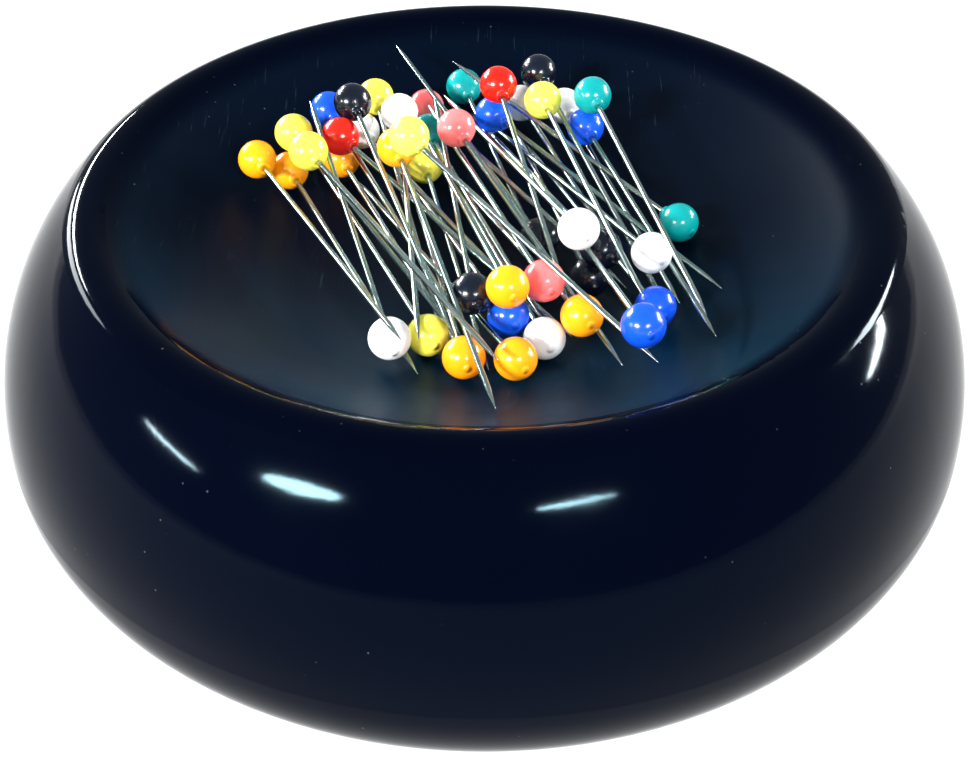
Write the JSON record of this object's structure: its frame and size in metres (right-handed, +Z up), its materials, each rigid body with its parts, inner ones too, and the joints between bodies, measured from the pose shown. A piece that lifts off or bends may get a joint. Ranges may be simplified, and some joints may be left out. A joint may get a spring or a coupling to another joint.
{
  "type": "magnetic pin bowl",
  "caption": "Round plastic bowl with a shallow magnetic dish on top that holds a tangle of coloured ball-headed dressmaking pins.",
  "frame": {"origin": "on the bowl's axis, in the plane its rubber feet stand on", "axes": "+Z up along the bowl's axis, -Y towards the front as pictured, +X to the viewer's right"},
  "size_m": [0.108, 0.108, 0.0425],
  "materials": {
    "shell_plastic": "polished outside, satin in the dish, dark navy",
    "cover_plastic": "fine matt texture, near-black navy",
    "foot_rubber": "matt black",
    "screw_steel": "zinc plated",
    "magnet_ferrite": "sintered ferrite, matt dark grey",
    "plate_steel": "zinc plated sheet",
    "foam": "closed-cell foam, dark grey",
    "pin_steel": "nickel-plated steel wire",
    "head_black": "glossy near-black",
    "head_blue": "glossy blue",
    "head_coral": "glossy coral pink",
    "head_orange": "glossy orange",
    "head_red": "glossy red",
    "head_teal": "glossy teal",
    "head_white": "glossy white",
    "head_yellow": "satin lemon yellow"
  },
  "bodies": {
    "bowl": {"bowl_shell": "shell_plastic", "base_cover": "cover_plastic", "cover_screws": "screw_steel", "rubber_feet": "foot_rubber", "ring_magnet": "magnet_ferrite", "magnet_back_plate": "plate_steel", "foam_ring": "foam"},
    "pin_pile": {"pile_shanks": "pin_steel", "pile_heads_black": "head_black", "pile_heads_blue": "head_blue", "pile_heads_coral": "head_coral", "pile_heads_orange": "head_orange", "pile_heads_red": "head_red", "pile_heads_teal": "head_teal", "pile_heads_white": "head_white", "pile_heads_yellow": "head_yellow"},
    "loose_pin_1": {"loose_pin_1_shank": "pin_steel", "loose_pin_1_head": "head_yellow"},
    "loose_pin_2": {"loose_pin_2_shank": "pin_steel", "loose_pin_2_head": "head_white"},
    "loose_pin_3": {"loose_pin_3_shank": "pin_steel", "loose_pin_3_head": "head_blue"},
    "loose_pin_4": {"loose_pin_4_shank": "pin_steel", "loose_pin_4_head": "head_teal"},
    "loose_pin_5": {"loose_pin_5_shank": "pin_steel", "loose_pin_5_head": "head_yellow"},
    "loose_pin_6": {"loose_pin_6_shank": "pin_steel", "loose_pin_6_head": "head_orange"},
    "loose_pin_7": {"loose_pin_7_shank": "pin_steel", "loose_pin_7_head": "head_yellow"},
    "loose_pin_8": {"loose_pin_8_shank": "pin_steel", "loose_pin_8_head": "head_white"}
  },
  "joints": [
    {"name": "pin_pile_lift", "type": "slide", "parent": "bowl", "child": "pin_pile", "axis": [0, 0, 1], "range_m": [0, 0.03]},
    {"name": "loose_pin_1_lift", "type": "slide", "parent": "pin_pile", "child": "loose_pin_1", "axis": [0, 0, 1], "range_m": [0, 0.03]},
    {"name": "loose_pin_2_lift", "type": "slide", "parent": "pin_pile", "child": "loose_pin_2", "axis": [0, 0, 1], "range_m": [0, 0.03]},
    {"name": "loose_pin_3_lift", "type": "slide", "parent": "loose_pin_1", "child": "loose_pin_3", "axis": [0, 0, 1], "range_m": [0, 0.03]},
    {"name": "loose_pin_4_lift", "type": "slide", "parent": "pin_pile", "child": "loose_pin_4", "axis": [0, 0, 1], "range_m": [0, 0.03]},
    {"name": "loose_pin_5_lift", "type": "slide", "parent": "pin_pile", "child": "loose_pin_5", "axis": [0, 0, 1], "range_m": [0, 0.03]},
    {"name": "loose_pin_6_lift", "type": "slide", "parent": "loose_pin_2", "child": "loose_pin_6", "axis": [0, 0, 1], "range_m": [0, 0.03]},
    {"name": "loose_pin_7_lift", "type": "slide", "parent": "loose_pin_2", "child": "loose_pin_7", "axis": [0, 0, 1], "range_m": [0, 0.03]},
    {"name": "loose_pin_8_lift", "type": "slide", "parent": "loose_pin_3", "child": "loose_pin_8", "axis": [0, 0, 1], "range_m": [0, 0.03]}
  ]
}
